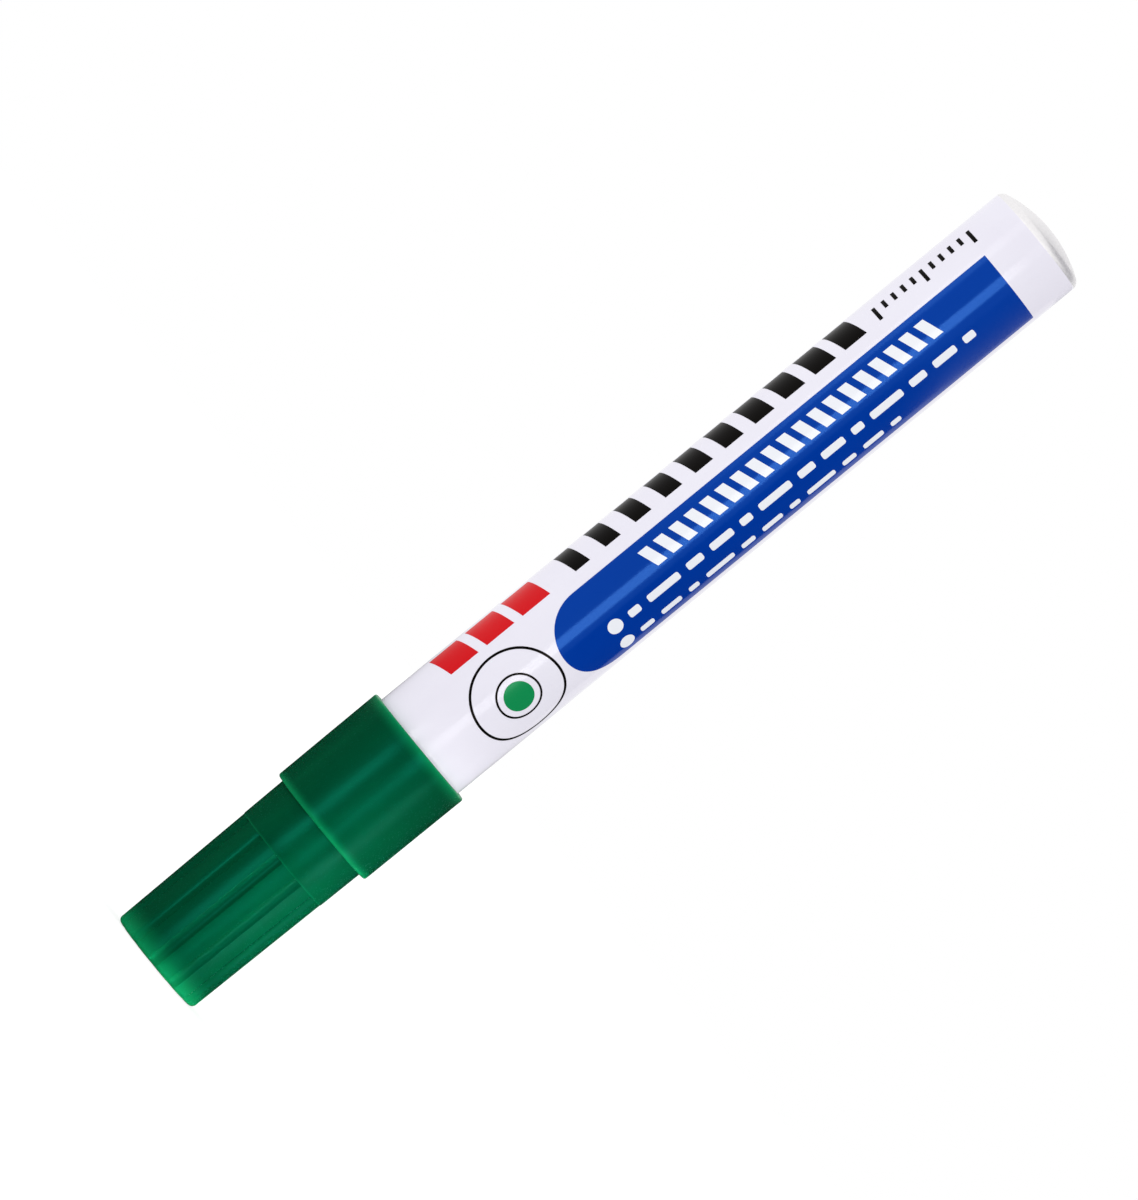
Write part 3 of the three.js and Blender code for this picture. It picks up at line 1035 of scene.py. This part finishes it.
# The single ones have their name and azimuth first
SINGLE_CARDS = (
    ("floor_card", 0.0, 0.0001, 0.0, 0.32, 0.32, BLACK_FELT, 0.0),
    ("barrel_card", 80.0, 0.089, 0.30, 0.54, 0.078, BLACK_FELT, 90.0),
    ("floor_card_wide", 0.0, 0.00005, 0.0, 1.6, 1.6, GREY_FELT, 0.0),
    ("tail_card_above", 120.0, 0.237, 0.215, 0.15, 0.40, GREY_FELT, 0.0),
    ("tail_card_beside", 88.0, 0.190, 0.25, 0.45, 0.12, GREY_FELT, 90.0),
)
FLOOR_SIZE = 6.0
FLOOR_HEIGHT = -0.00002
# What the camera and the reflections see of the floor: a grey that takes shadow, and a glow
SEEN_PAPER_GREY = 0.42
SEEN_PAPER_GLOW = 0.68


def seen_directly(tree):
    """1 for what the camera sees, also in a reflection or through glass, and 0 for other light."""
    path = add_node(tree, "ShaderNodeLightPath")
    seen = path.outputs["Is Camera Ray"]
    for ray in ("Is Glossy Ray", "Is Transmission Ray"):
        seen = add_node(
            tree, "ShaderNodeMath", {0: seen, 1: path.outputs[ray]}, operation="MAXIMUM"
        ).outputs[0]
    return seen


def studio_floor():
    """A plain white floor: it takes the marker's shadow, and looks white where it has none."""
    bpy.ops.object.select_all(action="DESELECT")
    bpy.ops.mesh.primitive_plane_add(size=FLOOR_SIZE, location=(0, 0, FLOOR_HEIGHT))
    floor = bpy.context.object
    floor.name = "studio_floor"
    material, tree, place, output = new_material("white_paper_floor")
    grain = speckle(tree, place, grain_mm=4.0)
    paper = add_node(
        tree, "ShaderNodeBsdfDiffuse", {"Color": two_tone(tree, grain, "#e4e4e4", "#e8e8e8")}
    )
    grey = (SEEN_PAPER_GREY, SEEN_PAPER_GREY, SEEN_PAPER_GREY, 1.0)
    dim_paper = add_node(tree, "ShaderNodeBsdfDiffuse", {"Color": grey})
    glow = add_node(tree, "ShaderNodeEmission", {"Strength": SEEN_PAPER_GLOW})
    bright = add_node(tree, "ShaderNodeAddShader", {0: dim_paper.outputs[0], 1: glow.outputs[0]})
    surface = add_node(
        tree,
        "ShaderNodeMixShader",
        {0: seen_directly(tree), 1: paper.outputs[0], 2: bright.outputs[0]},
    )
    tree.links.new(surface.outputs[0], output.inputs["Surface"])
    floor.data.materials.append(material)


def studio_world(ambient):
    """Even light of the ambient strength from all round, seen as plain white."""
    world = bpy.data.worlds.new("pale_studio")
    bpy.context.scene.world = world
    world.use_nodes = True
    tree = world.node_tree
    tree.nodes.clear()
    strength = add_node(
        tree,
        "ShaderNodeMapRange",
        {"Value": seen_directly(tree), "To Min": ambient, "To Max": 1.0},
    )
    background = add_node(
        tree,
        "ShaderNodeBackground",
        {"Color": (1.0, 1.0, 1.0, 1.0), "Strength": strength.outputs["Result"]},
    )
    output = add_node(tree, "ShaderNodeOutputWorld")
    tree.links.new(background.outputs[0], output.inputs["Surface"])


def softbox(name, azimuth, height, distance, width, length, radiance, spread):
    """An upright rectangular lamp that faces the marker's axis.

    A grid over the lamp keeps its light within spread degrees, without changing its radiance
    straight ahead.
    """
    half = math.radians(spread) / 2
    data = bpy.data.lights.new(name, "AREA")
    data.shape = "RECTANGLE"
    data.size = width
    data.size_y = length
    data.spread = half * 2
    data.energy = radiance * math.pi * width * length * (1 - half / math.tan(half))
    lamp = bpy.data.objects.new(name, data)
    bpy.context.scene.collection.objects.link(lamp)
    turn = math.radians(azimuth)
    lamp.location = (distance * math.sin(turn), -distance * math.cos(turn), height)
    lamp.rotation_euler = (math.pi / 2, 0, turn)
    lamp.visible_camera = False
    return lamp


def studio_lamps():
    """Narrow lamps set for their streaks alone, a fill beside the cap, a soft lamp at the tail."""
    for streak in STREAK_LAMPS:
        lamp = softbox(*streak)
        lamp.visible_diffuse = False
        lamp.visible_shadow = False
    cap_fill = softbox(*CAP_FILL_LAMP)
    cap_fill.visible_glossy = False
    softbox(*TAIL_LAMP)


def studio_card(name, azimuth, height, distance, width, length, felt, lean, frayed=0.0):
    """A felt card seen in reflections only: it keeps the marker's sides from washing out.

    It leans by degrees from level, 90 is upright. A frayed upper edge lets through more and
    more light over that many metres.
    """
    turn = math.radians(azimuth)
    bpy.ops.object.select_all(action="DESELECT")
    bpy.ops.mesh.primitive_plane_add(
        size=1.0,
        location=(distance * math.sin(turn), -distance * math.cos(turn), height),
        rotation=(math.radians(lean), 0, turn),
    )
    card = bpy.context.object
    card.name = name
    card.scale = (width, length, 1)
    bpy.ops.object.transform_apply(location=False, rotation=False, scale=True)
    material, tree, place, output = new_material(name + "_felt")
    nap = speckle(tree, place, grain_mm=2.0)
    surface = add_node(tree, "ShaderNodeBsdfDiffuse", {"Color": two_tone(tree, nap, *felt)})
    if frayed:
        upwards = add_node(tree, "ShaderNodeSeparateXYZ", {"Vector": place}).outputs["Y"]
        threads = add_node(
            tree,
            "ShaderNodeMapRange",
            {"Value": upwards, "From Min": length / 2 - frayed, "From Max": length / 2},
            interpolation_type="SMOOTHSTEP",
        )
        gaps = add_node(tree, "ShaderNodeBsdfTransparent")
        surface = add_node(
            tree,
            "ShaderNodeMixShader",
            {0: threads.outputs["Result"], 1: surface.outputs[0], 2: gaps.outputs[0]},
        )
    tree.links.new(surface.outputs[0], output.inputs["Surface"])
    card.data.materials.append(material)
    card.visible_camera = False
    card.visible_diffuse = False
    card.visible_shadow = False


def studio_cards():
    """Black beside the cap and the barrel, grey for the tail's bare metal."""
    for azimuth in CAP_CARD_AZIMUTHS:
        studio_card(f"cap_card_{azimuth}", azimuth, *CAP_CARD)
    for card in SINGLE_CARDS:
        studio_card(*card)
    for azimuth in TAIL_CARD_AZIMUTHS:
        studio_card(f"tail_card_{azimuth}", azimuth, *TAIL_CARD)


def camera_as_photographed():
    """Level view along +Y, rolled so that the marker rises to the upper right in the picture."""
    rise = math.radians(39.35)
    right = Vector((math.sin(rise), 0, math.cos(rise)))
    up = Vector((-math.cos(rise), 0, math.sin(rise)))
    back = Vector((0, -1, 0))
    distance = 1.3
    aim = Vector((-2.23 * MM, 0, 65.62 * MM))
    pixels_per_metre = 8390.0
    long_side_pixels = 1200.0
    data = bpy.data.cameras.new("camera")
    data.sensor_width = 36.0
    data.lens = pixels_per_metre * distance / long_side_pixels * data.sensor_width
    data.clip_end = 20.0
    camera = bpy.data.objects.new("camera", data)
    bpy.context.scene.collection.objects.link(camera)
    place = aim + back * distance
    camera.matrix_world = Matrix(
        (
            (right.x, up.x, back.x, place.x),
            (right.y, up.y, back.y, place.y),
            (right.z, up.z, back.z, place.z),
            (0, 0, 0, 1),
        )
    )
    bpy.context.scene.camera = camera


camera_as_photographed()
studio_world(ambient=0.98)
studio_floor()
studio_lamps()
studio_cards()

LACQUER = gloss_print("white_lacquer", "#f0edf9", "#f4f2fd", level=0.2, roughness=0.12)
INKS = {
    "blue": gloss_print(
        "baked_blue_ink", "#00369c", "#0039a2", "#60a8ff", level=0.4, roughness=0.12
    ),
    "black": gloss_print("baked_black_ink", "#050505", "#090909", "#c8b4aa", level=0.08),
    "red": gloss_print("baked_red_ink", "#d6161e", "#dc1b22", "#ffb0b0", level=0.15),
    "green": gloss_print("baked_green_ink", "#0a8a4d", "#0c9353", "#b0ffd8"),
    "white": gloss_print("baked_white_ink", "#f3f6ff", "#f8faff"),
}
POLYETHYLENE = natural_plastic(
    "natural_polyethylene", "#dfe4df", "#e6eae6", roughness=0.42, translucency=0.3
)
POLYPROPYLENE = natural_plastic(
    "natural_polypropylene", "#e4e4de", "#ecebe6", roughness=0.36, translucency=0.3
)
NIB_FIBRE = inked_fibre(
    "inked_polyester_nib", "#04543a", "#0d7a52", fibre_mm=0.06, roughness=0.75
)
BUNDLE_FIBRE = inked_fibre(
    "inked_fibre_bundle", "#043a29", "#0b5a3f", fibre_mm=0.12, roughness=0.9
)
make_cap_shell(moulded_green_polypropylene())
make_inner_cap(POLYETHYLENE)
make_barrel(LACQUER, bare_extruded_aluminium())
make_nib_holder(POLYPROPYLENE)
make_nib(NIB_FIBRE)
make_print(INKS)
for cad_node, finish in (("ink_reservoir", BUNDLE_FIBRE), ("reservoir_film", clear_film())):
    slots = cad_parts[cad_node].data.materials
    slots.clear()
    slots.append(finish)

bpy.context.scene.view_settings.view_transform = "Standard"
